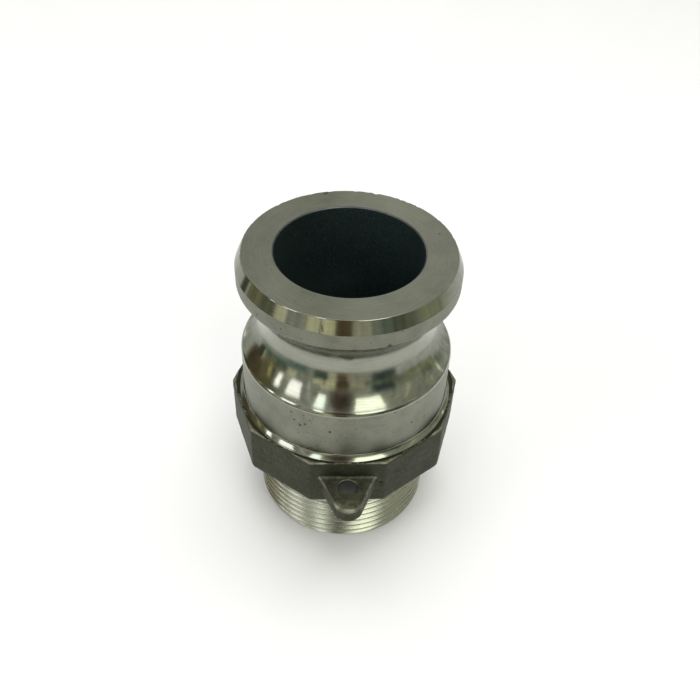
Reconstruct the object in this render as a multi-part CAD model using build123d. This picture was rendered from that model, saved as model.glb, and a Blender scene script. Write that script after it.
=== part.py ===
"""Male camlock adapter, 1-1/2 inch: a cam-groove spigot on a cast wrench hub, over a male taper thread.

The fitting is one casting, turned at both ends. Its zones are written as separate solids that meet
face to face: the collar and the barrel of the turned spigot, which part at the waist of the cam
groove, the cast hub, the ear on the hub and the threaded shank.
The Z axis is the bore's axis, z = 0 is the end face of the thread, and the ear points to -Y.
"""

import os
from math import asin, atan, ceil, cos, degrees, hypot, radians, sin, tan

from build123d import *

# ---- Bore -----------------------------------------------------------------------------------
BORE_R = 17.65              # straight through the whole fitting
BORE_EDGE = 0.4             # broken edge at both mouths

# ---- Cam-groove spigot, turned --------------------------------------------------------------
SPIGOT_R = 26.7             # collar and cylinder, the surface that enters the coupler
COLLAR_LEN = 7.15           # sealing face to groove
COLLAR_BEVEL_LEN = 3.2      # lead-in bevel of the collar, along the axis
COLLAR_BEVEL_IN = 1.4       # the same bevel, across the radius
GROOVE_LEN = 20.75          # mouth of the round groove that the cams press into
GROOVE_WALL = 3.05          # metal left between the bore and the bottom of the groove
CYLINDER_LEN = 14.7         # groove to shoulder
COLLAR_EDGE_ROUND = 0.5     # groove edge on the collar's side
CYLINDER_EDGE_ROUND = 1.4   # groove edge on the cylinder's side
SHOULDER_FILLET = 1.0       # tool radius left where the cylinder meets the shoulder

# ---- Wrench hub, as cast --------------------------------------------------------------------
HUB_SIDES = 10
HUB_LEN = 15.4              # underside to the turned shoulder
SHOULDER_WIDTH = 1.85       # cylinder to the middle of a flat
SPOT_FACE_DEPTH = 0.3       # how far the shoulder is turned below the cast corners
SPOT_FACE_WIDTH = 2.3       # ring that the tool cleans up, out from the cylinder
HUB_CORNER_ROUND = 2.0      # cast radius down each corner
HUB_TOP_ROUND = 0.5
HUB_BOTTOM_ROUND = 1.3

# ---- Ear for the cap's chain, cast on one flat ----------------------------------------------
EAR_THICKNESS = 4.4
EAR_REACH = 10.1            # flat to the tip
EAR_ROOT_WIDTH = 13.9       # at the flat
EAR_TIP_R = 3.75
EAR_HOLE_R = 2.45
EAR_HOLE_GAP = 0.85         # flat to the edge of the hole
EAR_EDGE_ROUND = 0.7

# ---- Male taper thread, 1-1/2 inch, 11 turns to the inch, 55 degrees -------------------------
THREAD_LEN = 23.5           # end face to the hub
PITCH = 2.309
GAUGE_R = 23.9015           # major radius at the gauge plane
GAUGE_LEN = 12.7            # end face to the gauge plane
CONE_SLOPE = 1 / 32         # rise of the radius per millimetre, 1 in 16 on diameter
FLANK_ANGLE = 27.5          # each flank, from the plane across the axis
THREAD_HEIGHT = 0.640327 * PITCH
ROOT_WIDTH = 2 * tan(radians(FLANK_ANGLE)) * 0.160082 * PITCH
THREAD_BEVEL = 1.3          # lead-in bevel at the end face
RUNOUT_TURNS = 0.75         # the tool leaves the metal over this part of a turn
CUT_OVER = 0.5              # how far the thread tool stands out past the crests
LEAD_TURNS = 0.6            # least part of a turn cut in the air before the end face

# ---- Worked out ------------------------------------------------------------------------------
SHOULDER_Z = THREAD_LEN + HUB_LEN
CYLINDER_TOP_Z = SHOULDER_Z + CYLINDER_LEN
COLLAR_BASE_Z = CYLINDER_TOP_Z + GROOVE_LEN
FACE_Z = COLLAR_BASE_Z + COLLAR_LEN
WAIST_Z = CYLINDER_TOP_Z + GROOVE_LEN / 2
GROOVE_R = BORE_R + GROOVE_WALL
GROOVE_DEPTH = SPIGOT_R - GROOVE_R
GROOVE_ARC_R = ((GROOVE_LEN / 2) ** 2 + GROOVE_DEPTH**2) / (2 * GROOVE_DEPTH)
FLAT_R = SPIGOT_R + SHOULDER_WIDTH
EAR_MID_Z = THREAD_LEN + HUB_LEN / 2


def turned(points):
    """Full turn about Z of an outline given as (radius, height) corners."""
    return revolve(make_face(Plane.XZ * Polyline(*points, close=True)), Axis.Z)


def bore_cut(low, high, edge_at=None, outward=1):
    """The bore between two heights; at a mouth it also takes the broken edge."""
    tool = Pos(0, 0, (low + high) / 2) * Cylinder(BORE_R, high - low)
    if edge_at is not None:
        edge = [
            (0, edge_at),
            (BORE_R + BORE_EDGE, edge_at),
            (BORE_R, edge_at - outward * BORE_EDGE),
            (0, edge_at - outward * BORE_EDGE),
        ]
        tool += turned(edge)
    return tool


def rounded(solid, height, radius):
    """The same solid with its outer edge at one height rounded."""
    rim = solid.edges().filter_by(GeomType.CIRCLE).filter_by_position(
        Axis.Z, height - 0.01, height + 0.01
    )
    return fillet(rim.sort_by(SortBy.RADIUS)[-1], radius)


def sealing_collar():
    """Free end of the spigot: sealing face, bevelled collar and the upper flank of the groove."""
    solid = revolve(
        make_face(
            Plane.XZ
            * (
                Curve()
                + [
                    RadiusArc((SPIGOT_R, COLLAR_BASE_Z), (GROOVE_R, WAIST_Z), -GROOVE_ARC_R),
                    Polyline(
                        (GROOVE_R, WAIST_Z),
                        (0, WAIST_Z),
                        (0, FACE_Z),
                        (SPIGOT_R - COLLAR_BEVEL_IN, FACE_Z),
                        (SPIGOT_R, FACE_Z - COLLAR_BEVEL_LEN),
                        (SPIGOT_R, COLLAR_BASE_Z),
                    ),
                ]
            )
        ),
        Axis.Z,
    )
    solid = rounded(solid, COLLAR_BASE_Z, COLLAR_EDGE_ROUND)
    return solid - bore_cut(WAIST_Z, FACE_Z, edge_at=FACE_Z)


def spigot_barrel():
    """Lower flank of the groove, the cylinder, and the foot that it stands on."""
    foot_r = SPIGOT_R + SHOULDER_FILLET
    foot_z = SHOULDER_Z + SHOULDER_FILLET
    solid = revolve(
        make_face(
            Plane.XZ
            * (
                Curve()
                + [
                    RadiusArc((GROOVE_R, WAIST_Z), (SPIGOT_R, CYLINDER_TOP_Z), -GROOVE_ARC_R),
                    Line((SPIGOT_R, CYLINDER_TOP_Z), (SPIGOT_R, foot_z)),
                    RadiusArc((SPIGOT_R, foot_z), (foot_r, SHOULDER_Z), -SHOULDER_FILLET),
                    Polyline(
                        (foot_r, SHOULDER_Z), (0, SHOULDER_Z), (0, WAIST_Z), (GROOVE_R, WAIST_Z)
                    ),
                ]
            )
        ),
        Axis.Z,
    )
    solid = rounded(solid, CYLINDER_TOP_Z, CYLINDER_EDGE_ROUND)
    return solid - bore_cut(SHOULDER_Z, WAIST_Z)


def wrench_hub():
    """Cast hub: a ten-sided prism with cast radii, its top turned clean round the spigot."""
    blank_top = SHOULDER_Z + SPOT_FACE_DEPTH
    blank_len = blank_top - THREAD_LEN
    prism = Pos(0, 0, THREAD_LEN) * extrude(
        RegularPolygon(FLAT_R, HUB_SIDES, major_radius=False), blank_len
    )
    prism = fillet(prism.edges().filter_by(Axis.Z), HUB_CORNER_ROUND)
    prism = fillet(prism.faces().sort_by(Axis.Z)[-1].edges(), HUB_TOP_ROUND)
    prism = fillet(prism.faces().sort_by(Axis.Z)[0].edges(), HUB_BOTTOM_ROUND)
    spot_face = Pos(0, 0, SHOULDER_Z + SPOT_FACE_DEPTH) * Cylinder(
        SPIGOT_R + SPOT_FACE_WIDTH, 2 * SPOT_FACE_DEPTH
    )
    return prism - spot_face - bore_cut(THREAD_LEN, blank_top)


def ear_outline():
    """Plan of the ear, root on the X axis and tip at +Y: two straight sides and a round tip."""
    centre = EAR_REACH - EAR_TIP_R
    half_root = EAR_ROOT_WIDTH / 2
    # The side from the root corner touches the tip circle: lean is its angle from +Y.
    span = hypot(half_root, centre)
    lean = atan(half_root / centre) - asin(EAR_TIP_R / span)
    touch = (EAR_TIP_R * cos(lean), centre + EAR_TIP_R * sin(lean))
    return make_face(
        Curve()
        + [
            Polyline((-touch[0], touch[1]), (-half_root, 0), (half_root, 0), touch),
            ThreePointArc(touch, (0, EAR_REACH), (-touch[0], touch[1])),
        ]
    )


def tether_ear():
    """Cast ear standing on the -Y flat at half the hub's height, with an upright hole."""
    place = Pos(0, -FLAT_R, EAR_MID_Z - EAR_THICKNESS / 2) * Rot(0, 0, 180)
    blank = place * extrude(ear_outline(), EAR_THICKNESS)
    rim = blank.edges().filter_by(lambda e: e.center().Y < -FLAT_R - 0.01).filter_by(
        Axis.Z, reverse=True
    )
    blank = fillet(rim, EAR_EDGE_ROUND)
    hole_y = -FLAT_R - EAR_HOLE_GAP - EAR_HOLE_R
    return blank - Pos(0, hole_y, EAR_MID_Z) * Cylinder(EAR_HOLE_R, 2 * EAR_THICKNESS)


def thread_groove(turns, start_z, start_r, slope):
    """One V groove along a cone: a trapezium carried round a helix of the thread's pitch."""
    helix = Helix(
        PITCH, turns * PITCH, start_r, center=(0, 0, start_z), cone_angle=degrees(atan(slope))
    )
    flank = tan(radians(FLANK_ANGLE))
    root_half = ROOT_WIDTH / 2
    top_half = root_half + (THREAD_HEIGHT + CUT_OVER) * flank
    section = Plane(origin=helix @ 0, x_dir=(1, 0, 0), z_dir=helix % 0) * make_face(
        Polyline(
            (-THREAD_HEIGHT, -root_half),
            (-THREAD_HEIGHT, root_half),
            (CUT_OVER, top_half),
            (CUT_OVER, -top_half),
            close=True,
        )
    )
    return sweep(section, path=helix, is_frenet=True)


def pipe_thread():
    """Threaded shank: a 1 in 16 cone with a single helical groove that runs out under the hub."""
    end_r = GAUGE_R - CONE_SLOPE * GAUGE_LEN
    cone = [
        (0, 0),
        (end_r - THREAD_BEVEL, 0),
        (end_r + CONE_SLOPE * THREAD_BEVEL, THREAD_BEVEL),
        (end_r + CONE_SLOPE * THREAD_LEN, THREAD_LEN),
        (0, THREAD_LEN),
    ]
    shank = turned(cone) - bore_cut(0, THREAD_LEN, edge_at=0, outward=-1)
    groove_half = (PITCH - ROOT_WIDTH) / 2
    full_end = THREAD_LEN - groove_half - RUNOUT_TURNS * PITCH
    turns = ceil(full_end / PITCH + LEAD_TURNS)
    start_z = full_end - turns * PITCH
    shank -= thread_groove(turns, start_z, end_r + CONE_SLOPE * start_z, CONE_SLOPE)
    rise = (THREAD_HEIGHT + CUT_OVER / 2) / (RUNOUT_TURNS * PITCH)
    shank -= thread_groove(RUNOUT_TURNS, full_end, end_r + CONE_SLOPE * full_end, rise)
    return shank


NODES = {
    "sealing_collar": sealing_collar,
    "spigot_barrel": spigot_barrel,
    "wrench_hub": wrench_hub,
    "tether_ear": tether_ear,
    "pipe_thread": pipe_thread,
}

os.makedirs("parts", exist_ok=True)
for name, make in NODES.items():
    piece = make()
    piece.label = name
    export_step(piece, f"parts/{name}.step")
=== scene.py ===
"""A male camlock adapter for 1-1/2 inch hose, standing on its thread on a pale studio floor.

The adapter is one stainless casting. The spigot, the shoulder and the thread are turned bright; the
ten-sided hub and the ear keep the matt skin of the mould. The sections follow it from the free end
of the spigot down to the thread, and then come the floor, the lights and the camera.
"""

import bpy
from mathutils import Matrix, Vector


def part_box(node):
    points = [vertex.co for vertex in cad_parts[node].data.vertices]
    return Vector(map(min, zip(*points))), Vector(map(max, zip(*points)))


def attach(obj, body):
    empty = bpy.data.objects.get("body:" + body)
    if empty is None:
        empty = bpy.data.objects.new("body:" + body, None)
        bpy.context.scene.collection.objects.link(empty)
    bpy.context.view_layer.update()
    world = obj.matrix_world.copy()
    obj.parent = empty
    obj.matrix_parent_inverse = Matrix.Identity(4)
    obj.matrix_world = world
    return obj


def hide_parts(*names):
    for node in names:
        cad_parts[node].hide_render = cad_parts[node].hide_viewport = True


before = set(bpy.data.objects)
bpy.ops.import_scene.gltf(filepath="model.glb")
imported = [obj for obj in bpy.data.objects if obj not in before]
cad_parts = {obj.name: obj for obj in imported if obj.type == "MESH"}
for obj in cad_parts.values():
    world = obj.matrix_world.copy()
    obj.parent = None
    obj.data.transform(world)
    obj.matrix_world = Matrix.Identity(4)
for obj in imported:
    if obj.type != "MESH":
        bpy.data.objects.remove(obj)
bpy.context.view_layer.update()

from math import atan2, cos, degrees, hypot, pi, radians, sin, sqrt, tan

import bmesh
import bpy
import numpy as np
from mathutils import Matrix, Quaternion, Vector

MM = 0.001

# ---- Turned spigot ---------------------------------------------------------------------------
# The end that enters the coupler: sealing face, bevelled collar, the round groove that the cams
# press into, and the cylinder on its foot. It is turned in one setting, so it is one closed lathe
# surface here, and every edge has the small radius that the tool and the deburring leave.

collar_low, collar_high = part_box("sealing_collar")
barrel_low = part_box("spigot_barrel")[0]

FACE_Z = collar_high[2] / MM
WAIST_Z = collar_low[2] / MM
SHOULDER_Z = barrel_low[2] / MM
SPIGOT_R = collar_high[0] / MM
BORE_R = 17.65
BORE_EDGE = 0.28
GROOVE_HALF = 10.375
GROOVE_DEPTH = 6.0
GROOVE_ARC_R = (GROOVE_HALF**2 + GROOVE_DEPTH**2) / (2 * GROOVE_DEPTH)
LOWER_EDGE_R = 1.4
UPPER_EDGE_R = 0.5
BEVEL_LEN = 3.2
BEVEL_IN = 1.4
BREAK_R = 0.22
RIM_BREAK_R = 0.3
SHOULDER_TOP_Z = SHOULDER_Z + 1.05
SHOULDER_TIGHT_R = 1.05
SHOULDER_WIDE_R = 3.9
SHOULDER_MEET = 38
SHOULDER_END = 57
FOOT_SINK = 0.4
HIDDEN_R = 0.05

FACED, BEVELLED, GROOVED, BARREL, BORED = range(5)


def arc(centre, radius, start, end, steps, finish, hollow=False):
    """Points on a circle about a centre in the (radius, height) plane, from one angle to another.

    Each row is (radius, height, normal's radius part, normal's height part, finish). On a hollow
    arc the metal is outside the circle, so the normal points at the centre.
    """
    turn = np.radians(np.linspace(start, end, steps))
    out = np.stack([np.cos(turn), np.sin(turn)], 1)
    points = np.array(centre) + radius * out
    normals = -out if hollow else out
    return np.hstack([points, normals, np.full((steps, 1), finish)])


def corner(point, radius, start, end, steps, finish):
    """A convex corner between two straight runs, rounded: normals turn from start to end degrees.

    The circle's centre lies in from the corner along the two normals' sum, divided by one plus
    their dot product, times the radius.
    """
    first, last = (np.array([cos(radians(a)), sin(radians(a))]) for a in (start, end))
    centre = np.array(point) - radius * (first + last) / (1 + first @ last)
    return arc(centre, radius, start, end, steps, finish)


def groove_tangent(edge_r):
    """Where an edge rounding of one radius sits between the groove's arc and the cylinder.

    Returns its centre's distance above or below the groove's middle, and the angle of the line
    from the groove's centre to it, measured from the cylinder's own direction.
    """
    across = GROOVE_ARC_R - GROOVE_DEPTH + edge_r
    up = sqrt((GROOVE_ARC_R + edge_r) ** 2 - across**2)
    return up, degrees(atan2(up, across))


low_up, low_turn = groove_tangent(LOWER_EDGE_R)
high_up, high_turn = groove_tangent(UPPER_EDGE_R)
groove_centre = (SPIGOT_R - GROOVE_DEPTH + GROOVE_ARC_R, WAIST_Z)
bevel_tilt = degrees(atan2(BEVEL_IN, BEVEL_LEN))


def shoulder_run():
    """The turned shoulder: a tight hollow off the cylinder, then a longer, flatter hollow outward.

    Both arcs are hollow and meet at the same slope. Their centres are the cylinder's foot plus the
    first radius outward, and then further out and up along the normal where they meet.
    """
    tight = np.array([SPIGOT_R + SHOULDER_TIGHT_R, SHOULDER_TOP_Z])
    meeting = np.array([cos(radians(SHOULDER_MEET)), sin(radians(SHOULDER_MEET))])
    wide = tight + (SHOULDER_WIDE_R - SHOULDER_TIGHT_R) * meeting
    end, meet = 180 + SHOULDER_END, 180 + SHOULDER_MEET
    return np.vstack([
        arc(wide, SHOULDER_WIDE_R, end, meet, 14, GROOVED, hollow=True),
        arc(tight, SHOULDER_TIGHT_R, meet, 180, 14, GROOVED, hollow=True),
    ])


shoulder = shoulder_run()
shoulder[-1, 4] = BARREL  # the cylinder starts at the shoulder's last point
BAND_END_R, BAND_END_Z = shoulder[0, :2]
foot_z = BAND_END_Z - FOOT_SINK
spigot_outline = np.vstack([
    corner((BORE_R, foot_z), HIDDEN_R, 180, 270, 3, BORED),
    corner((BAND_END_R, foot_z), HIDDEN_R, 270, 360, 3, GROOVED),
    shoulder,
    arc((SPIGOT_R - LOWER_EDGE_R, WAIST_Z - low_up), LOWER_EDGE_R, 0, low_turn, 14, GROOVED),
    arc(groove_centre, GROOVE_ARC_R, 180 + low_turn, 180 - high_turn, 72, GROOVED, hollow=True),
    arc((SPIGOT_R - UPPER_EDGE_R, WAIST_Z + high_up), UPPER_EDGE_R, -high_turn, 0, 8, BARREL),
    corner((SPIGOT_R, FACE_Z - BEVEL_LEN), BREAK_R, 0, bevel_tilt, 4, BEVELLED),
    corner((SPIGOT_R - BEVEL_IN, FACE_Z), RIM_BREAK_R, bevel_tilt, 90, 9, BEVELLED),
    corner((BORE_R + BORE_EDGE, FACE_Z), BREAK_R, 90, 135, 4, FACED),
    corner((BORE_R, FACE_Z - BORE_EDGE), BREAK_R, 135, 180, 4, BORED),
])


MERGE_WITHIN = 2e-6
NO_AREA = 1e-7


def mesh_piece(name, vertices, faces, finishes, normals=None, sharp_over=None, rubbed=None):
    """A piece from whole arrays: vertices in millimetres, faces, and a finish for each face.

    Doubled points are merged where no normals are given; then edges over an angle stay sharp.
    The value given for the brightened skin, if any, is kept at each vertex for the material: how far
    the skin is painted brighter there, as wear and as painted highlight.
    """
    mesh = bpy.data.meshes.new(name)
    mesh.from_pydata((vertices * MM).tolist(), [], faces.tolist())
    if rubbed is not None:
        mesh.attributes.new("rubbed", "FLOAT", "POINT").data.foreach_set("value", rubbed)
    mesh.polygons.foreach_set("material_index", finishes.astype(np.int32))
    mesh.polygons.foreach_set("use_smooth", np.ones(len(mesh.polygons), dtype=bool))
    if normals is None:
        form = bmesh.new()
        form.from_mesh(mesh)
        bmesh.ops.remove_doubles(form, verts=form.verts, dist=MERGE_WITHIN)
        bmesh.ops.dissolve_degenerate(form, edges=form.edges, dist=NO_AREA)
        bmesh.ops.recalc_face_normals(form, faces=form.faces)
        form.to_mesh(mesh)
        form.free()
        mesh.set_sharp_from_angle(angle=radians(sharp_over))
    else:
        mesh.normals_split_custom_set_from_vertices(normals.tolist())
    mesh.update()
    piece = bpy.data.objects.new(name, mesh)
    bpy.context.scene.collection.objects.link(piece)
    return piece


def ring_faces(columns, rows, wrap_rows=True):
    """Quads of a grid that closes on itself round its columns and, if asked, along its rows."""
    column, row = np.meshgrid(np.arange(columns), np.arange(rows if wrap_rows else rows - 1))
    next_column, next_row = (column + 1) % columns, (row + 1) % rows
    corners = [
        row * columns + column,
        row * columns + next_column,
        next_row * columns + next_column,
        next_row * columns + column,
    ]
    return np.stack(corners, -1).reshape(-1, 4)


def lathe(name, outline, columns, shape=None):
    """A closed outline turned about Z: x and y are radius times cosine and sine of the turn.

    shape, if given, takes the grid of (turn, radius, height) and returns worn radius and height.
    """
    turn = np.linspace(0, 2 * pi, columns, endpoint=False)[None, :]
    radius, height, out, up, finish = (outline[:, k, None] for k in range(5))
    radius, height = np.broadcast_arrays(radius + 0 * turn, height)[0], height + 0 * turn
    if shape:
        radius, height = shape(turn + 0 * radius, radius, height)
    points = np.stack([radius * np.cos(turn), radius * np.sin(turn), height], -1)
    normals = np.stack([out * np.cos(turn), out * np.sin(turn), up + 0 * turn], -1)
    finishes = np.repeat(outline[:, 4], columns)
    rows = len(outline)
    return mesh_piece(
        name, points.reshape(-1, 3), ring_faces(columns, rows), finishes,
        normals=normals.reshape(-1, 3),
    )


RIM_KNOCKS = 60
KNOCK_REACH = 0.35
KNOCK_IN = 0.7
KNOCK_DOWN = 0.5
rng = np.random.default_rng(11)
knock_turn = rng.uniform(0, 2 * pi, RIM_KNOCKS)
knock_depth = rng.uniform(0.05, 0.2, RIM_KNOCKS)
knock_width = rng.uniform(0.005, 0.018, RIM_KNOCKS)


def knocked_rim(turn, radius, height):
    """Small knocks on the rim between face and bevel.

    Each is a bell curve round the turn, deepest at the rim and gone within half a millimetre.
    """
    apart = np.angle(np.exp(1j * (turn[..., None] - knock_turn)))
    knock = (knock_depth * np.exp(-((apart / knock_width) ** 2))).sum(-1)
    rim = np.hypot(radius - (SPIGOT_R - BEVEL_IN), height - FACE_Z)
    near = np.exp(-((rim / KNOCK_REACH) ** 2))
    return radius - KNOCK_IN * knock * near, height - KNOCK_DOWN * knock * near


class Wire:
    """One output of a material's nodes. Its operators add Math nodes, add() adds any other node."""

    def __init__(self, tree, socket):
        self.tree, self.socket = tree, socket

    def add(self, kind, settings=None, inputs=None, out=0):
        """A node of one type: its settings first, then a value or a link for each input."""
        node = self.tree.nodes.new(kind)
        for key, value in (settings or {}).items():
            if key == "stops":
                ramp = node.color_ramp.elements
                while len(ramp) < len(value):
                    ramp.new(1.0)
                for stop, (place, colour) in zip(ramp, value):
                    stop.position, stop.color = place, (*colour, 1.0)
            else:
                setattr(node, key, value)
        for key, value in (inputs or {}).items():
            if isinstance(value, Wire):
                self.tree.links.new(value.socket, node.inputs[key])
            else:
                node.inputs[key].default_value = value
        return Wire(self.tree, node.outputs[out])

    def maths(self, operation, first, second=0.0, clamp=False):
        settings = {"operation": operation, "use_clamp": clamp}
        return self.add("ShaderNodeMath", settings, {0: first, 1: second})

    def __add__(self, other):
        return self.maths("ADD", self, other)

    __radd__ = __add__

    def __sub__(self, other):
        return self.maths("SUBTRACT", self, other)

    def __rsub__(self, other):
        return self.maths("SUBTRACT", other, self)

    def __mul__(self, other):
        return self.maths("MULTIPLY", self, other)

    __rmul__ = __mul__

    def __pow__(self, other):
        return self.maths("POWER", self, other)

    def over(self, low, high):
        """0 at low and 1 at high, straight between and held outside."""
        return self.maths("MULTIPLY", self - low, 1 / (high - low), clamp=True)

    def part(self, name):
        """The X, Y or Z of a vector."""
        return self.add("ShaderNodeSeparateXYZ", None, {0: self}, out="XYZ".index(name))

    def distance(self, spot):
        """How far this point is from a spot given in millimetres, in metres."""
        inputs = {0: self, 1: tuple(value * MM for value in spot)}
        return self.add("ShaderNodeVectorMath", {"operation": "DISTANCE"}, inputs, out="Value")

    def noise(self, scale, detail=3.0, roughness=0.5):
        """Cloud noise, 0 to 1, with so many clouds to the metre."""
        inputs = {"Vector": self, "Scale": scale, "Detail": detail, "Roughness": roughness}
        return self.add("ShaderNodeTexNoise", None, inputs)

    def mix(self, low, high):
        """A colour that goes from low to high as this value goes from 0 to 1."""
        low, high = ((*c, 1.0) if isinstance(c, tuple) else c for c in (low, high))
        return self.add("ShaderNodeMix", {"data_type": "RGBA"}, {0: self, 6: low, 7: high}, out=2)

    def bump(self, distance, strength=1.0):
        """A normal from this height, which is so many metres from its 0 to its 1."""
        inputs = {"Height": self, "Distance": distance, "Strength": strength}
        return self.add("ShaderNodeBump", None, inputs)

    def to_surface(self):
        """Joins this shader to the material's output."""
        output = self.tree.nodes.new("ShaderNodeOutputMaterial")
        self.tree.links.new(self.socket, output.inputs["Surface"])


def finish(name, sockets):
    """A material on the Principled shader. sockets is a function of the Object coordinates."""
    material = bpy.data.materials.new(name)
    material.use_nodes = True
    tree = material.node_tree
    tree.nodes.clear()
    place = Wire(tree, tree.nodes.new("ShaderNodeTexCoord").outputs["Object"])
    shader = place.add("ShaderNodeBsdfPrincipled", None, sockets(place))
    shader.to_surface()
    return material


def radius_of(place):
    """Distance from the bore's axis."""
    return (place.part("X") ** 2.0 + place.part("Y") ** 2.0) ** 0.5


ACROSS_FACES = 1.3


def tool_marks(place, spacing, drift=90.0):
    """Fine rings round the axis, as a turning tool leaves them: noise drawn out round the turn.

    It runs fast along height less so many radii, which changes across every turned face, and
    slowly along X and Y.
    """
    along = (place.part("Z") - ACROSS_FACES * radius_of(place)) * (1 / (spacing * MM))
    slow = {"X": along, "Y": place.part("X") * drift, "Z": place.part("Y") * drift}
    return place.add("ShaderNodeCombineXYZ", None, slow).noise(1.0, 4.0, 0.65)


def specks(place, scale, size, share):
    """1 on small round specks, 0 elsewhere: a share of the cells, so many to the metre, has one."""
    cells = {"Vector": place, "Scale": scale}
    near = place.add("ShaderNodeTexVoronoi", None, cells)
    draw = place.add("ShaderNodeTexVoronoi", None, cells, out=1)
    red = place.add("ShaderNodeSeparateColor", None, {0: draw})
    picked = place.maths("LESS_THAN", red, share)
    return (1 - near.over(0.4 * size, size)) * picked


# Dents and dirt on the turned steel: the middle of each in millimetres, and its radius.
SCARS = [
    ((8.0, -25.5, 74.5), 0.75), ((-6.6, -25.2, 80.0), 0.3), ((-6.5, -25.4, 79.5), 0.35),
    ((-6.4, -25.6, 79.0), 0.3), ((-5.6, 23.6, 81.5), 0.5), ((-5.2, 23.9, 81.5), 0.5),
    ((-4.8, 24.3, 81.5), 0.45), ((21.6, 6.4, 81.5), 0.4), ((-11.6, -24.1, 47.7), 0.55),
    ((-10.4, -24.6, 48.6), 0.4), ((-12.9, -23.4, 48.9), 0.4), ((-4.5, -26.3, 47.7), 0.5),
    ((-9.2, -25.1, 50.4), 0.35), ((-13.6, -23.0, 51.2), 0.35), ((15.4, -21.8, 46.0), 0.4),
]


def turned_steel(light, dark, gloss, ridge, dirt, streak, spacing=0.3, ringed=0.45):
    """Sockets of turned stainless: rings and smudges in colour and gloss, rings in height, dirt.

    light and dark are the two ends of its colour and gloss the two ends of its roughness. ridge is
    the height of the rings and spacing their pitch, in millimetres; ringed is the rings' share of
    the colour, dirt the share of specks, and streak how far the gloss is drawn out by the rings.
    """

    def sockets(place):
        rings = tool_marks(place, spacing)
        smudge = place.noise(170.0, 5.0, 0.62)
        tone = (ringed * rings + (1 - ringed) * smudge).over(0.34, 0.66)
        base = tone.mix(dark, light)
        fine = tool_marks(place, 0.7 * spacing, 260.0).over(0.35, 0.65)
        base = (0.65 * ringed * fine).mix(base, tuple(1.35 * value for value in light))
        roughness = gloss[0] + (gloss[1] - gloss[0]) * tone
        stain = place.noise(240.0, 4.0, 0.7).over(0.48, 0.68)
        spots = 0.8 * specks(place, 380.0, 0.12, 0.5 * dirt)
        spots = spots + (0.25 + 0.6 * stain) * specks(place, 900.0, 0.24, dirt)
        for spot, size in SCARS:
            spots = spots + (1 - place.distance(spot).over(0.3 * size * MM, size * MM))
        spots = (spots * place.noise(1500.0).over(0.2, 0.5)).over(0.0, 1.0)
        base = (0.85 * spots).mix(base, (0.03, 0.03, 0.025))
        roughness = roughness + 0.25 * spots
        return {
            "Base Color": base,
            "Metallic": 1.0,
            "Roughness": roughness,
            "Anisotropic": streak,
            "Anisotropic Rotation": 0.25,
            "Normal": rings.bump(ridge * MM, 0.8),
        }

    return sockets


def shaded_cast_bore(place):
    """Sockets of the bore: the mould's skin, painted near black with a teal cast as painted shade and
    painted reflection deep in the bore, with a fine sparkle of grit.
    """
    grain = place.noise(2200.0, 3.0, 0.6)
    sparkle = place.noise(2900.0, 2.0, 0.7).over(0.52, 0.68)
    patches = place.noise(90.0, 3.0).over(0.35, 0.7)
    # Painted shade: the bore's colour is near black and teal, for the shade and the reflection inside
    # it.
    base = patches.mix((0.011, 0.026, 0.027), (0.022, 0.043, 0.042))
    base = (0.5 * sparkle).mix(base, (0.085, 0.125, 0.12))
    return {
        "Base Color": base,
        "Metallic": 0.55,
        "Roughness": 0.55 + 0.2 * grain,
        "Normal": grain.bump(0.05 * MM),
    }


face_steel = finish("faced_steel", turned_steel(
    light=(0.15, 0.158, 0.168), dark=(0.08, 0.086, 0.09), gloss=(0.36, 0.5),
    ridge=0.006, dirt=0.2, streak=0.3,
))
bevel_steel = finish("bevel_steel", turned_steel(
    light=(0.3, 0.305, 0.255), dark=(0.225, 0.23, 0.19), gloss=(0.1, 0.18),
    ridge=0.003, dirt=0.08, streak=0.8,
))
groove_steel = finish("groove_steel", turned_steel(
    light=(0.31, 0.32, 0.268), dark=(0.2, 0.21, 0.172), gloss=(0.09, 0.19),
    ridge=0.004, dirt=0.12, streak=0.8,
))
barrel_steel = finish("barrel_steel", turned_steel(
    light=(0.275, 0.28, 0.232), dark=(0.165, 0.172, 0.138), gloss=(0.42, 0.54),
    ridge=0.006, dirt=0.5, streak=0.0, ringed=0.2,
))
shaded_bore_skin = finish("shaded_bore_skin", shaded_cast_bore)

spigot = lathe("turned_spigot", spigot_outline, 288, knocked_rim)
for material in (face_steel, bevel_steel, groove_steel, barrel_steel, shaded_bore_skin):
    spigot.data.materials.append(material)
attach(spigot, "root")
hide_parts("sealing_collar", "spigot_barrel")

# ---- Wrench hub ------------------------------------------------------------------------------
# The ten-sided hub keeps the skin of the mould, with soft corners. The tool that turns the spigot
# runs out over it: it skims the top of each flat and leaves ten cast corners standing proud.

hub_low, hub_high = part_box("wrench_hub")
HUB_BASE_Z = hub_low[2] / MM
WORN_OFF = 0.6
HUB_TOP_Z = hub_high[2] / MM - WORN_OFF
HUB_SIDES = 10
FLAT_R = hub_high[1] / MM
HUB_CORNER_R = 2.0
HUB_TOP_R = 0.5
HUB_BASE_R = 1.3
SKIM_R = FLAT_R + 0.2
SKIM_EDGE_R = 0.25
UNDER_SPIGOT = 0.12
INSIDE_BAND = 0.1
CAST_WAVE = 0.022
HUB_SKIN, HUB_TURNED, HUB_BORE = range(3)


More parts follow.
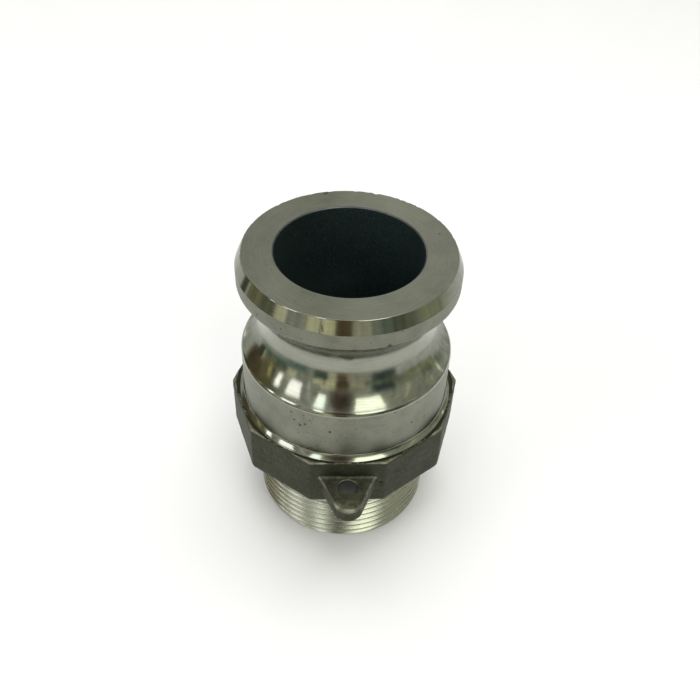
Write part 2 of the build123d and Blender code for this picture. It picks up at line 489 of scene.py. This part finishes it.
def rounded_polygon(sides, flat_r, corner_r, per_flat, per_corner):
    """Path round a polygon with arcs for corners: points and outward normals, a flat facing -Y.

    Each corner's arc has its centre on the corner's own ray, at the flat's distance less the arc's
    radius, over the cosine of half the polygon's step. Flats run straight from arc to arc.
    """
    step = 2 * pi / sides
    facing = -pi / 2 + step * np.arange(sides)[:, None]
    turn = facing + np.linspace(0, step, per_corner)[None, :]
    reach = (flat_r - corner_r) / cos(step / 2)
    middle = facing + step / 2
    arcs = np.stack([
        reach * np.cos(middle) + corner_r * np.cos(turn),
        reach * np.sin(middle) + corner_r * np.sin(turn),
    ], -1)
    share = np.linspace(0, 1, per_flat + 2)[1:-1, None]
    flats = arcs[:, -1, None] * (1 - share) + np.roll(arcs, -1, 0)[:, 0, None] * share
    flat_turn = np.repeat(facing + step, per_flat, 1)
    points = np.concatenate([arcs, flats], 1).reshape(-1, 2)
    turns = np.concatenate([turn, flat_turn], 1).reshape(-1)
    return points, np.stack([np.cos(turns), np.sin(turns)], -1)


def cast_waves(x, y, z, size):
    """The uneven skin of a sand mould: three crossed sine waves a few millimetres long."""
    return size * (
        np.sin(0.9 * x + 1.7 * z + 0.4) * np.cos(1.1 * y - 0.6 * z)
        + 0.6 * np.sin(1.9 * y + 1.3 * x + 2.0) * np.cos(2.3 * z)
        + 0.4 * np.sin(3.1 * x - 2.7 * y + 1.9 * z)
    )


def cast_pits(x, y, z, pits):
    """Depth of the mould's pores: a bell curve about each pit's middle, of its own width."""
    depth = 0 * x
    for middle, width, deep in pits:
        away = (x - middle[0]) ** 2 + (y - middle[1]) ** 2 + (z - middle[2]) ** 2
        depth = depth + deep * np.exp(-away / width**2)
    return depth


# Pores of the casting on the hub's flats: middle, width and depth, in millimetres.
HUB_PITS = [
    ((8.4, -28.5, 31.2), 0.62, 0.42), ((7.3, -28.5, 31.9), 0.45, 0.3),
    ((-13.0, -26.0, 29.0), 0.4, 0.25), ((20.5, -21.0, 33.5), 0.45, 0.3),
    ((-24.6, 14.0, 30.5), 0.5, 0.35), ((6.0, 28.5, 28.0), 0.45, 0.3),
]


def hub_grid():
    """The hub as a grid: rows of (inset, height) carried round the rounded polygon.

    A row's point is the path's point less its inset along the path's normal. Above the level of the
    tool nothing is left inside the tool's circle: a point there moves out to the circle, or down to
    that level where the flat itself is inside it, and there the edge is broken a little.
    """
    path, out = rounded_polygon(HUB_SIDES, FLAT_R, HUB_CORNER_R, 40, 12)
    level = BAND_END_Z
    bend = np.radians(np.linspace(90, 0, 7))
    rows = [(HUB_BASE_R * (1 - cos(b)), HUB_BASE_Z + HUB_BASE_R * (1 - sin(b)), 0) for b in bend]
    wall = np.linspace(HUB_BASE_Z + HUB_BASE_R, level - SKIM_EDGE_R, 30)[1:]
    rows += [(0.0, z, 0) for z in wall]
    rise = np.radians(np.linspace(0, 90, 5))[1:]
    rows += [(SKIM_EDGE_R * (1 - cos(b)), level - SKIM_EDGE_R * (1 - sin(b)), 1) for b in rise]
    edge = len(rows) - 1
    rise = np.radians(np.linspace(0, 90, 7))
    rows += [(HUB_TOP_R * (1 - cos(b)), HUB_TOP_Z - HUB_TOP_R * (1 - sin(b)), 0) for b in rise]
    inset, height, skimmed = (np.array(rows)[:, k, None] for k in range(3))
    low_flat = np.clip((SKIM_R + SKIM_EDGE_R - np.hypot(*path.T)) / SKIM_EDGE_R, 0, 1)[None, :]
    inset = inset * np.where(skimmed > 0, low_flat, 1)
    x = path[None, :, 0] - inset * out[None, :, 0]
    y = path[None, :, 1] - inset * out[None, :, 1]
    z = height + 0 * x
    skin = cast_waves(x, y, z, CAST_WAVE) - cast_pits(x, y, z, HUB_PITS)
    x, y = x + skin * out[None, :, 0], y + skin * out[None, :, 1]
    radius = np.hypot(x, y)
    cut = (np.arange(len(rows))[:, None] > edge) & (radius < SKIM_R)
    gone = cut & (radius[edge] < SKIM_R)[None, :]
    x = np.where(gone, x[edge], np.where(cut, x * SKIM_R / radius, x))
    y = np.where(gone, y[edge], np.where(cut, y * SKIM_R / radius, y))
    z = np.where(gone, level, z)
    return x, y, z, edge


hub_x, hub_y, hub_z, hub_edge = hub_grid()
hub_ray = np.stack([hub_x[-1], hub_y[-1]], -1)
hub_length = np.linalg.norm(hub_ray, axis=1, keepdims=True)
hub_ray = hub_ray / hub_length


def circle_row(radius, height, held_in=False):
    """A row on a circle, along the rays of the hub's outer edge; held_in keeps it within that edge."""
    length = np.minimum(radius, hub_length) if held_in else radius + 0 * hub_length
    return np.hstack([hub_ray * length, height + 0 * hub_length])


outer_rows = np.stack([hub_x, hub_y, hub_z], -1)
inner_rows = [
    circle_row(SKIM_R, hub_z[-1][:, None], held_in=True),
    circle_row(SKIM_R, BAND_END_Z, held_in=True),
    circle_row(BAND_END_R - INSIDE_BAND, BAND_END_Z - UNDER_SPIGOT),
    circle_row(BORE_R, BAND_END_Z - UNDER_SPIGOT),
    circle_row(BORE_R, HUB_BASE_Z),
]
hub_rows = np.concatenate([outer_rows, np.stack(inner_rows)])
hub_columns = hub_rows.shape[1]
row_finish = np.full(len(hub_rows), HUB_SKIN)
row_finish[-3] = HUB_TURNED
row_finish[-2] = HUB_BORE


def cast_skin(place):
    """Sockets of the mould's skin on stainless: matt olive grey, gritty, with a few pits."""
    grit = place.noise(1000.0, 4.0, 0.7)
    fine = place.noise(2700.0, 3.0, 0.65)
    cloud = place.noise(140.0, 4.0, 0.6).over(0.3, 0.72)
    pits = specks(place, 260.0, 0.1, 0.15)
    for middle, width, _ in HUB_PITS:
        pits = pits + (1 - place.distance(middle).over(0.4 * width * MM, 1.1 * width * MM))
    pits = pits.over(0.0, 1.0)
    base = cloud.mix((0.026, 0.028, 0.017), (0.054, 0.056, 0.036))
    base = (0.55 * fine.over(0.45, 0.72)).mix(base, (0.125, 0.125, 0.08))
    base = (0.5 * grit.over(0.5, 0.7)).mix(base, (0.022, 0.023, 0.016))
    base = pits.mix(base, (0.012, 0.012, 0.01))
    height = grit + 0.5 * fine - 1.5 * pits
    return {
        "Base Color": base,
        "Metallic": 0.82,
        "Roughness": 0.52 + 0.16 * grit,
        "Normal": height.bump(0.045 * MM),
    }


def cast_skin_wear_and_highlight(place):
    """The mould's skin, painted brighter where the mesh's own value says so, in patches: partly rubbed
    wear, partly painted highlight on edges and tops that face the light.
    """
    sockets = cast_skin(place)
    edge = place.add("ShaderNodeAttribute", {"attribute_name": "rubbed"}, out=2)
    patchy = place.noise(520.0, 4.0, 0.6).over(0.4, 0.62)
    brightened = (edge * (0.3 + 0.55 * patchy)).over(0.03, 0.85)
    # Painted highlight and wear: the skin is lightened towards a pale brass grey where the value says
    # so.
    sockets["Base Color"] = brightened.mix(sockets["Base Color"], (0.36, 0.35, 0.265))
    sockets["Roughness"] = sockets["Roughness"] - 0.16 * brightened
    return sockets


# Painted brighter on the hub: the top roundings of the cast corners fully and the broken skim edge by
# half, as rubbed wear and as painted highlight where they face up.
row_wear_and_highlight = np.zeros(len(hub_rows))
row_wear_and_highlight[hub_edge + 3 : -5] = 0.95
row_wear_and_highlight[hub_edge - 1 : hub_edge + 1] = 0.45
cast_skin_brightened = finish("cast_skin", cast_skin_wear_and_highlight)
hub = mesh_piece(
    "cast_hub", hub_rows.reshape(-1, 3), ring_faces(hub_columns, len(hub_rows)),
    np.repeat(row_finish, hub_columns), sharp_over=32, rubbed=np.repeat(row_wear_and_highlight, hub_columns),
)
for material in (cast_skin_brightened, barrel_steel, shaded_bore_skin):
    hub.data.materials.append(material)
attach(hub, "root")
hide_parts("wrench_hub")

# ---- Ear -------------------------------------------------------------------------------------
# A flat ear for the dust cap's chain, cast on the flat that faces -Y, half way up the hub. It
# flares into the flat with a cast radius, its top and upper edges are painted brighter, as
# rubbed wear and as painted highlight, and a hole goes down it.

ear_low, ear_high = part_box("tether_ear")
EAR_LOW_Z, EAR_TOP_Z = ear_low[2] / MM, ear_high[2] / MM
EAR_MID_Z = (EAR_LOW_Z + EAR_TOP_Z) / 2
EAR_HALF = (EAR_TOP_Z - EAR_LOW_Z) / 2
EAR_REACH = (ear_high[1] - ear_low[1]) / MM
EAR_HALF_ROOT = ear_high[0] / MM
EAR_TIP_R = 3.75
EAR_SINK = 0.7
EAR_HOLE_R = 2.45
EAR_HOLE_GAP = 0.85
EAR_HOLE_REACH = EAR_HOLE_GAP + EAR_HOLE_R
EAR_EDGE_R = 0.6
HOLE_EDGE_R = 0.25
EAR_ROOT_R = 0.55
EAR_WALL_HALF = 0.9
ROOT_CROWDING = 1.3
FLAT_ROWS = 14
EAR_WAVE = 0.045
BRIGHT_TIP_LEN = 3.6
EAR_SKIN, EAR_HOLE = range(2)


def ear_plan(per_side, per_tip, per_root):
    """Plan of the ear as a closed path, root first: points (across, reach) and outward normals.

    The sides run from the root's corners and touch the tip's circle, with their points closer at
    the root; the root runs back inside the hub.
    """
    centre = EAR_REACH - EAR_TIP_R
    lean = atan2(EAR_HALF_ROOT, centre) - np.arcsin(EAR_TIP_R / hypot(EAR_HALF_ROOT, centre))
    side = np.array([cos(lean), sin(lean)])
    touch = np.array([0, centre]) + EAR_TIP_R * side
    back = np.array([EAR_HALF_ROOT + EAR_SINK * tan(lean), -EAR_SINK])
    share = np.linspace(0, 1, per_side, endpoint=False)[:, None] ** ROOT_CROWDING
    right = back + (touch - back) * share
    turn = np.linspace(lean, pi - lean, per_tip)[:, None]
    tip_normal = np.hstack([np.cos(turn), np.sin(turn)])
    tip = np.array([0, centre]) + EAR_TIP_R * tip_normal
    left = (right * [-1, 1])[::-1]
    along = np.linspace(-1, 1, per_root + 2)[1:-1, None]
    root = np.hstack([along * back[0], 0 * along - EAR_SINK])
    points = np.vstack([right, tip, left, root])
    normals = np.vstack([
        np.tile(side, (per_side, 1)),
        tip_normal,
        np.tile(side * [-1, 1], (per_side, 1)),
        np.tile([0.0, -1.0], (per_root, 1)),
    ])
    return points, normals


def ear_grid():
    """The ear as a grid: a rounded section carried round the plan and back through the hole.

    Outer rows stand in from the plan along its normal, hole rows stand out from the hole's circle
    on the ray to the same point, and flat rows run straight from one to the other. The last value
    of each point is how far it is round the outer edge: 1 half way round, 0 on the flats.
    """
    plan, out = ear_plan(30, 36, 24)
    ray = plan - np.array([0, EAR_HOLE_REACH])
    ray = ray / np.linalg.norm(ray, axis=1, keepdims=True)
    bend = np.radians(np.linspace(0, 90, 8))
    rim = [
        (EAR_EDGE_R * (1 - cos(b)), EAR_HALF - EAR_EDGE_R * (1 - sin(b)), sin(2 * b)) for b in bend
    ]
    wall = [(0.0, z, 0.0) for z in np.linspace(-EAR_WALL_HALF, EAR_WALL_HALF, 5)]
    outer = [(inset, -z, edge) for inset, z, edge in rim[::-1]] + wall + rim
    lip = [
        (HOLE_EDGE_R * (1 - cos(b)), EAR_HALF - HOLE_EDGE_R * (1 - sin(b)), sin(2 * b))
        for b in bend
    ]
    inner = lip[::-1] + [(inset, -z, edge) for inset, z, edge in lip]
    column = np.ones((len(plan), 1))
    rows = [np.hstack([plan - inset * out, column * z, column * e]) for inset, z, e in outer]
    hole = np.array([0, EAR_HOLE_REACH])
    circles = [
        np.hstack([hole + (EAR_HOLE_R + inset) * ray, column * z, column * e])
        for inset, z, e in inner
    ]
    steps = np.linspace(0, 1, FLAT_ROWS + 2)[1:-1]
    top = [rows[-1] * (1 - step) + circles[0] * step for step in steps]
    under = [circles[-1] * (1 - step) + rows[0] * step for step in steps]
    return np.stack(rows + top + circles + under), len(rows), len(circles)


ear_rows, ear_outer, ear_inner = ear_grid()
across, reach, rise, ear_edge = (ear_rows[..., k] for k in range(4))
gap = np.clip((EAR_ROOT_R - reach) / EAR_ROOT_R, 0, 1)
swell = EAR_ROOT_R * (1 - np.sqrt(1 - gap**2))
side_share = np.clip(np.abs(across) / EAR_HALF_ROOT, 0, 1) ** 3
hole_share = np.hypot(across, reach - EAR_HOLE_REACH) / EAR_HOLE_R
ear_wave = cast_waves(across, reach, rise, EAR_WAVE) * np.clip(hole_share - 1.1, 0, 1)
ear_points = np.stack([
    across + np.sign(across) * swell * side_share + 0.5 * ear_wave,
    -FLAT_R - reach,
    EAR_MID_Z + rise + np.sign(rise) * swell * (np.abs(rise) / EAR_HALF) ** 2 + ear_wave,
], -1)
ear_columns = ear_points.shape[1]
ear_finish = np.full(len(ear_points), EAR_SKIN)
hole_start = ear_outer + FLAT_ROWS
ear_finish[hole_start + 4 : hole_start + ear_inner - 5] = EAR_HOLE


def tip_wear_and_highlight(reach, rise):
    """How much the ear's top is painted brighter, as wear and as painted highlight: a little all over,
    and most of the way at the tip.
    """
    tip = np.clip((reach - (EAR_REACH - BRIGHT_TIP_LEN)) / BRIGHT_TIP_LEN, 0, 1)
    return (0.22 + 0.6 * tip) * (rise > 0.5 * EAR_HALF)


def shaded_hole(place):
    """Sockets of the ear's hole: the mould's skin, never painted brighter, and painted nearly black as
    painted shade inside the hole.
    """
    sockets = shaded_cast_bore(place)
    # Painted shade: the hole's wall is near black for the shade inside it.
    sockets["Base Color"] = place.noise(1500.0).mix((0.008, 0.012, 0.01), (0.022, 0.026, 0.02))
    sockets["Metallic"] = 0.3
    return sockets


# Only the upper edges and the top are painted brighter: painted highlight where light falls on them,
# with wear.
ear_wear_and_highlight = np.clip(0.5 * ear_edge**3 * (rise > 0) + tip_wear_and_highlight(reach, rise), 0, 1)
shaded_hole_skin = finish("ear_hole_painted_shade", shaded_hole)
ear = mesh_piece(
    "cast_ear", ear_points.reshape(-1, 3), ring_faces(ear_columns, len(ear_points)),
    np.repeat(ear_finish, ear_columns), sharp_over=60, rubbed=ear_wear_and_highlight.reshape(-1),
)
for material in (cast_skin_brightened, shaded_hole_skin):
    ear.data.materials.append(material)
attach(ear, "root")
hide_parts("tether_ear")

# ---- Thread ----------------------------------------------------------------------------------
# The taper thread, 11 turns to the inch at 55 degrees, is cut in one helical groove. The first
# turn is bevelled at the end face, and the groove runs out under the hub where the tool leaves.

thread_low, thread_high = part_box("pipe_thread")
THREAD_LEN = (thread_high[2] - thread_low[2]) / MM
PITCH = 2.309
GAUGE_R = 23.9015
GAUGE_LEN = 12.7
CONE_SLOPE = 1 / 32
DEPTH_TO_PITCH = 0.640327
THREAD_HEIGHT = DEPTH_TO_PITCH * PITCH
THREAD_BEVEL = 1.3
RUNOUT = 0.75 * PITCH
FLANK_RISE = 1.5
CREST_EASE = 0.3
ROWS_PER_TURN = 18
THREAD_COLUMNS = 288
THREAD_CUT, THREAD_BORE = range(2)

end_r = GAUGE_R - CONE_SLOPE * GAUGE_LEN
groove_half = (PITCH - PITCH / 6) / 2
full_end = THREAD_LEN - groove_half - RUNOUT


def soft_clamp(value, ease):
    """Held between 0 and 1, with each bend eased over a small part of the range."""
    low = 0.5 * (value + np.sqrt(value**2 + ease**2))
    return low - 0.5 * (low - 1 + np.sqrt((low - 1) ** 2 + ease**2))


def thread_radius(turn, height):
    """Radius of the threaded cone at a turn and a height.

    The groove's depth is a triangle wave along the helix, half as tall again as the thread and cut
    off at crest and root. It fades to nothing over the run-out, and the end bevel cuts it all.
    """
    phase = (height - full_end) / PITCH - turn / (2 * pi) + 0.5
    along = phase - np.floor(phase)
    wave = FLANK_RISE * (0.5 - np.abs(2 * along - 1)) + 0.5
    groove_z = height + (0.5 - along) * PITCH
    fade = np.clip(1 - (groove_z - full_end) / RUNOUT, 0, 1)
    crest = end_r + CONE_SLOPE * height
    cut = crest - THREAD_HEIGHT * fade * soft_clamp(wave, CREST_EASE)
    return np.minimum(cut, end_r - THREAD_BEVEL + height * (1 + CONE_SLOPE))


turns_needed = int(THREAD_LEN / PITCH) + 3
row_count = turns_needed * ROWS_PER_TURN
helix_turn = np.linspace(0, 2 * pi, THREAD_COLUMNS, endpoint=False)[None, :]
helix_row = np.arange(row_count + ROWS_PER_TURN)[:, None]
helix_z = PITCH * (helix_row / ROWS_PER_TURN - 1 + helix_turn / (2 * pi))
helix_z = np.clip(helix_z, 0, THREAD_LEN)
helix_r = thread_radius(helix_turn, helix_z)
helix_points = np.stack(
    [helix_r * np.cos(helix_turn), helix_r * np.sin(helix_turn), helix_z], -1
).reshape(-1, 3)
column, row = np.meshgrid(np.arange(THREAD_COLUMNS), np.arange(row_count - 1))
beside = np.where(
    column + 1 < THREAD_COLUMNS,
    row * THREAD_COLUMNS + column + 1,
    (row + ROWS_PER_TURN) * THREAD_COLUMNS,
)
helix_faces = np.stack([
    row * THREAD_COLUMNS + column, beside, beside + THREAD_COLUMNS,
    (row + 1) * THREAD_COLUMNS + column,
], -1).reshape(-1, 4)

back_outline = np.vstack([
    corner((BORE_R, THREAD_LEN), HIDDEN_R, 90, 180, 3, THREAD_BORE),
    corner((BORE_R, BORE_EDGE), BREAK_R, 180, 225, 4, THREAD_BORE),
    corner((BORE_R + BORE_EDGE, 0), BREAK_R, 225, 270, 4, THREAD_CUT),
])
back_r, back_z = back_outline[:, 0, None], back_outline[:, 1, None]
back_points = np.stack([
    back_r * np.cos(helix_turn), back_r * np.sin(helix_turn), back_z + 0 * helix_turn
], -1)
top_row = helix_points.reshape(-1, THREAD_COLUMNS, 3)[row_count - 1]
end_row = helix_points.reshape(-1, THREAD_COLUMNS, 3)[0]
back_points = np.concatenate([top_row[None], back_points, end_row[None]]).reshape(-1, 3)
back_faces = ring_faces(THREAD_COLUMNS, len(back_outline) + 2, wrap_rows=False)
back_finish = np.repeat([THREAD_CUT, *back_outline[:, 4]], THREAD_COLUMNS)

thread_steel = finish("thread_steel", turned_steel(
    light=(0.35, 0.355, 0.292), dark=(0.25, 0.256, 0.21), gloss=(0.22, 0.32),
    ridge=0.004, dirt=0.04, streak=0.3, spacing=0.25,
))
thread = mesh_piece(
    "cut_thread",
    np.vstack([helix_points, back_points]),
    np.vstack([helix_faces, back_faces + len(helix_points)]),
    np.concatenate([np.full(len(helix_faces), THREAD_CUT), back_finish]),
    sharp_over=38,
)
for material in (thread_steel, shaded_bore_skin):
    thread.data.materials.append(material)
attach(thread, "root")
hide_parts("pipe_thread")

# ---- Floor -----------------------------------------------------------------------------------
# A plain pale sheet that the adapter stands on. It isn't part of the object.

FLOOR_R = 1.5


def pale_floor(place):
    """Sockets of the sheet: matt off-white, with a very faint unevenness."""
    tone = place.noise(4.0, 2.0).over(0.3, 0.7)
    return {
        "Base Color": tone.mix((0.87, 0.87, 0.86), (0.9, 0.9, 0.89)),
        "Roughness": 0.85,
    }


rim_turn = np.linspace(0, 2 * pi, 96, endpoint=False)
floor_rim = np.stack([np.cos(rim_turn), np.sin(rim_turn), 0 * rim_turn], -1) * FLOOR_R
floor_mesh = bpy.data.meshes.new("floor")
floor_mesh.from_pydata(floor_rim.tolist(), [], [list(range(len(floor_rim)))])
floor_mesh.materials.append(finish("pale_floor", pale_floor))
floor = bpy.data.objects.new("floor", floor_mesh)
bpy.context.scene.collection.objects.link(floor)

# ---- Studio light ----------------------------------------------------------------------------
# Soft boxes overhead, in front and at the sides light the set. Round it stands a dome of flags and
# pale boards, only for the metal to mirror: the camera doesn't see it and it casts no shadow.

EYE_Z = 0.062
LIGHT_AWAY = 1.3
LIGHT_LEAN = 13
DOME_R = 1.45
DOME_FOOT_R = 0.15
DOME_FOOT_Z = 0.0006
DOME_COLUMNS = 96
STREAK_CONTRAST = 1.1
focus = Vector((0, 0, EYE_Z))


def soft_box(name, bearing, elevation, size, brightness, colour=(1, 1, 1)):
    """A rectangular light that faces the object, of a given brightness.

    bearing is in degrees from the front, positive to the right, and its top leans outward. Its
    power is its brightness times its area times pi.
    """
    data = bpy.data.lights.new(name, "AREA")
    data.shape = "RECTANGLE"
    data.size, data.size_y = size
    data.energy = brightness * size[0] * size[1] * pi
    data.color = colour
    light = bpy.data.objects.new(name, data)
    b, e = radians(bearing), radians(elevation)
    way = Vector((sin(b) * cos(e), -cos(b) * cos(e), sin(e)))
    light.location = focus + LIGHT_AWAY * way
    lean = Quaternion((0, 0, 1), radians(-LIGHT_LEAN if bearing > 0 else LIGHT_LEAN))
    light.rotation_euler = (way.to_track_quat("Z", "Y") @ lean).to_euler()
    light.visible_camera = False
    bpy.context.scene.collection.objects.link(light)
    return light


overhead = soft_box("overhead", 160, 84, (1.1, 1.1), 3.9)
overhead.visible_glossy = False  # the steel mirrors the dome's pale top instead
soft_box("window_right", 27, 46, (0.52, 0.66), 3.4, (0.97, 1.0, 0.88))
soft_box("window_left", -31, 44, (0.17, 0.7), 3.2, (0.93, 1.0, 1.0))
soft_box("window_far_left", -60, 29, (0.3, 0.72), 3.0, (1.0, 0.96, 1.0))
soft_box("strip_left", -79, 23, (0.11, 0.55), 3.6)
soft_box("edge_left", -146, 12, (0.3, 0.25), 3.0)
soft_box("strip_right", 109, 17, (0.045, 0.3), 1.6, (1.0, 0.97, 0.85))

FLOOR_TONE = (0.8, 0.8, 0.78)
boards = [
    # bearing from, to; elevation from, to; softness of its sides and ends; brightness
    (-181, 181, -22, 95, 0.1, 10, (0.48, 0.49, 0.41)),
    (-181, 181, 60, 95, 0.1, 16, (0.98, 0.99, 0.94)),
    (54, 181, -30, -2, 12, 5, FLOOR_TONE),
    (-181, -114, -30, -5, 12, 5, FLOOR_TONE),
    (112, 181, -5, 55, 16, 6, (0.62, 0.63, 0.58)),
    (-181, -122, -5, 55, 12, 6, (0.62, 0.63, 0.58)),
    (52, 118, -1, 12, 12, 6, (0.3, 0.33, 0.24)),
    (-124, -84, -7, 46, 5, 6, (0.16, 0.125, 0.075)),
    (-104, -86, -2, 36, 6, 10, (0.25, 0.22, 0.12)),
    (-114, -72, -15, -2, 6, 4, (0.05, 0.24, 0.2)),
    (-72, -46, -22, -8, 8, 6, (0.16, 0.26, 0.23)),
    (-29, -12, -22, 20, 6, 9, (0.92, 0.87, 0.6)),
    (-12, 1, -22, 20, 5, 9, (0.24, 0.17, 0.1)),
    (1, 20, -22, 20, 6, 9, (0.5, 0.46, 0.34)),
    (-38, -22, -19, 2, 5, 6, (0.06, 0.12, 0.12)),
    (-57, -37, 2, 30, 6, 8, (0.42, 0.42, 0.38)),
    (27, 55, -18, 22, 6, 8, (0.045, 0.085, 0.09)),
    (-19, 6, 18, 68, 4, 8, (0.26, 0.22, 0.18)),
    (-15, 2, 26, 58, 5, 12, (0.1, 0.075, 0.06)),
    (-115, -107, -14, 6, 2, 4, (0.13, 0.13, 0.09)),
    (-107, -104, -12, 6, 1, 4, (0.7, 0.7, 0.5)),
    (-104, -87, -10, 7, 3, 4, (0.34, 0.3, 0.18)),
    (-88, -72, -8, 7, 3, 4, (0.22, 0.22, 0.14)),
    (-71, -58, -6, 7, 3, 4, (0.95, 0.92, 0.66)),
    (-57, -39, -4, 8, 3, 4, (0.48, 0.5, 0.42)),
    (-39, -13, -2, 8, 2, 3, (1.1, 1.06, 0.7)),
    (-27, -25.6, -2, 8, 0.6, 3, (0.15, 0.14, 0.1)),
    (-13, 2, -2, 9, 2, 3, (0.12, 0.085, 0.05)),
    (2, 19, -1, 9, 2, 3, (0.66, 0.66, 0.5)),
    (19, 38, -2, 8, 2, 3, (0.29, 0.34, 0.27)),
    (38, 41, -3, 8, 1, 3, (0.13, 0.15, 0.11)),
    (41, 64, -4, 8, 3, 4, (0.23, 0.25, 0.165)),
    (64, 107, -8, 8, 6, 4, (0.42, 0.45, 0.29)),
    (68, 71, 20, 42, 2, 8, (1.3, 1.2, 0.8)),
    (97, 100, 22, 36, 2, 8, (1.1, 1.05, 0.8)),
    (-93, -89, 6, 24, 2, 8, (0.9, 0.8, 0.38)),
    (-45, -41, 10, 54, 2, 10, (0.9, 0.9, 0.85)),
]


def surroundings(place):
    """Colour of the dome in each direction from the spigot: boards laid one over another.

    A board is 1 between its sides and 0 outside, with slopes as wide as its softness. The broken
    light of a real room is noise that runs fast with bearing and slowly with elevation.
    """
    x, y, z = (place.part(axis) for axis in "XYZ")
    flat = (x * x + y * y) ** 0.5
    bearing = place.maths("ARCTAN2", x, 0 - y) * (180 / pi)
    elevation = place.maths("ARCTAN2", z - EYE_Z, flat) * (180 / pi)
    colour = FLOOR_TONE
    for left, right, low, high, side, end, tone in boards:
        mask = bearing.over(left - side / 2, left + side / 2)
        mask = mask * (1 - bearing.over(right - side / 2, right + side / 2))
        mask = mask * elevation.over(low - end / 2, low + end / 2)
        mask = mask * (1 - elevation.over(high - end / 2, high + end / 2))
        colour = mask.mix(colour, tone)
    streaks = {"X": bearing * 0.22, "Y": elevation * 0.04, "Z": 0.0}
    streak = place.add("ShaderNodeCombineXYZ", None, streaks).noise(1.0, 5.0, 0.7).over(0.3, 0.7)
    above = elevation.over(-20, 0)
    shade = (STREAK_CONTRAST * above) * (streak - 0.5) + 1.0
    return colour, shade


dome_rows = [(DOME_FOOT_R, DOME_FOOT_Z), (DOME_R - 0.03, DOME_FOOT_Z)]
dome_rows += [
    (DOME_R * cos(rise), DOME_R * sin(rise)) for rise in np.radians(np.linspace(3, 90, 30))[:-1]
]
dome_turn = np.linspace(0, 2 * pi, DOME_COLUMNS, endpoint=False)[None, :]
dome_r, dome_z = (np.array(dome_rows)[:, k, None] for k in range(2))
dome_points = np.stack([
    dome_r * np.cos(dome_turn), dome_r * np.sin(dome_turn), dome_z + 0 * dome_turn
], -1).reshape(-1, 3)
dome_mesh = bpy.data.meshes.new("dome")
dome_mesh.from_pydata(
    dome_points.tolist(), [], ring_faces(DOME_COLUMNS, len(dome_rows), wrap_rows=False).tolist()
)
dome_paint = bpy.data.materials.new("dome_boards")
dome_paint.use_nodes = True
dome_tree = dome_paint.node_tree
dome_tree.nodes.clear()
start = Wire(dome_tree, dome_tree.nodes.new("ShaderNodeTexCoord").outputs["Object"])
dome_colour, dome_shade = surroundings(start)
# The dome glows in these colours by itself: a painted reflection of a room for the steel to mirror,
# not lit by the lamps.
start.add("ShaderNodeEmission", None, {"Color": dome_colour, "Strength": dome_shade}).to_surface()
dome_mesh.materials.append(dome_paint)
dome = bpy.data.objects.new("dome", dome_mesh)
bpy.context.scene.collection.objects.link(dome)
for ray in ("visible_camera", "visible_diffuse", "visible_shadow", "visible_transmission"):
    setattr(dome, ray, False)

world = bpy.data.worlds.new("studio")
bpy.context.scene.world = world
world.use_nodes = True
sky = world.node_tree
sky.nodes.clear()
seen = Wire(sky, sky.nodes.new("ShaderNodeLightPath").outputs["Is Camera Ray"])
air = seen.mix((0.3, 0.3, 0.29), (0.9, 0.9, 0.89))
glow = air.add("ShaderNodeBackground", None, {"Color": air, "Strength": 1.0})
sky_out = sky.nodes.new("ShaderNodeOutputWorld")
sky.links.new(glow.socket, sky_out.inputs["Surface"])

# ---- Camera ----------------------------------------------------------------------------------
# It looks down at the fitting from close by, a little left of the ear, and is held slightly askew.
# Its place is in millimetres from the bore's axis and the sealing face, its angles are in degrees.

CAMERA_TURN = 3.01
CAMERA_BACK = 147.67
CAMERA_ABOVE_FACE = 105.62
HEADING = 3.40
DOWN = 42.95
ROLL = 2.385
camera_data = bpy.data.cameras.new("camera")
camera_data.sensor_width = 36.0
camera_data.lens = 40.11
camera_data.clip_start = 0.01
camera = bpy.data.objects.new("camera", camera_data)
bpy.context.scene.collection.objects.link(camera)
camera.location = (
    -CAMERA_BACK * sin(radians(CAMERA_TURN)) * MM,
    -CAMERA_BACK * cos(radians(CAMERA_TURN)) * MM,
    (FACE_Z + CAMERA_ABOVE_FACE) * MM,
)
camera.rotation_euler = (
    Matrix.Rotation(radians(-HEADING), 3, "Z")
    @ Matrix.Rotation(radians(90 - DOWN), 3, "X")
    @ Matrix.Rotation(radians(ROLL), 3, "Z")
).to_euler()
bpy.context.scene.camera = camera
bpy.context.scene.view_settings.view_transform = "Standard"
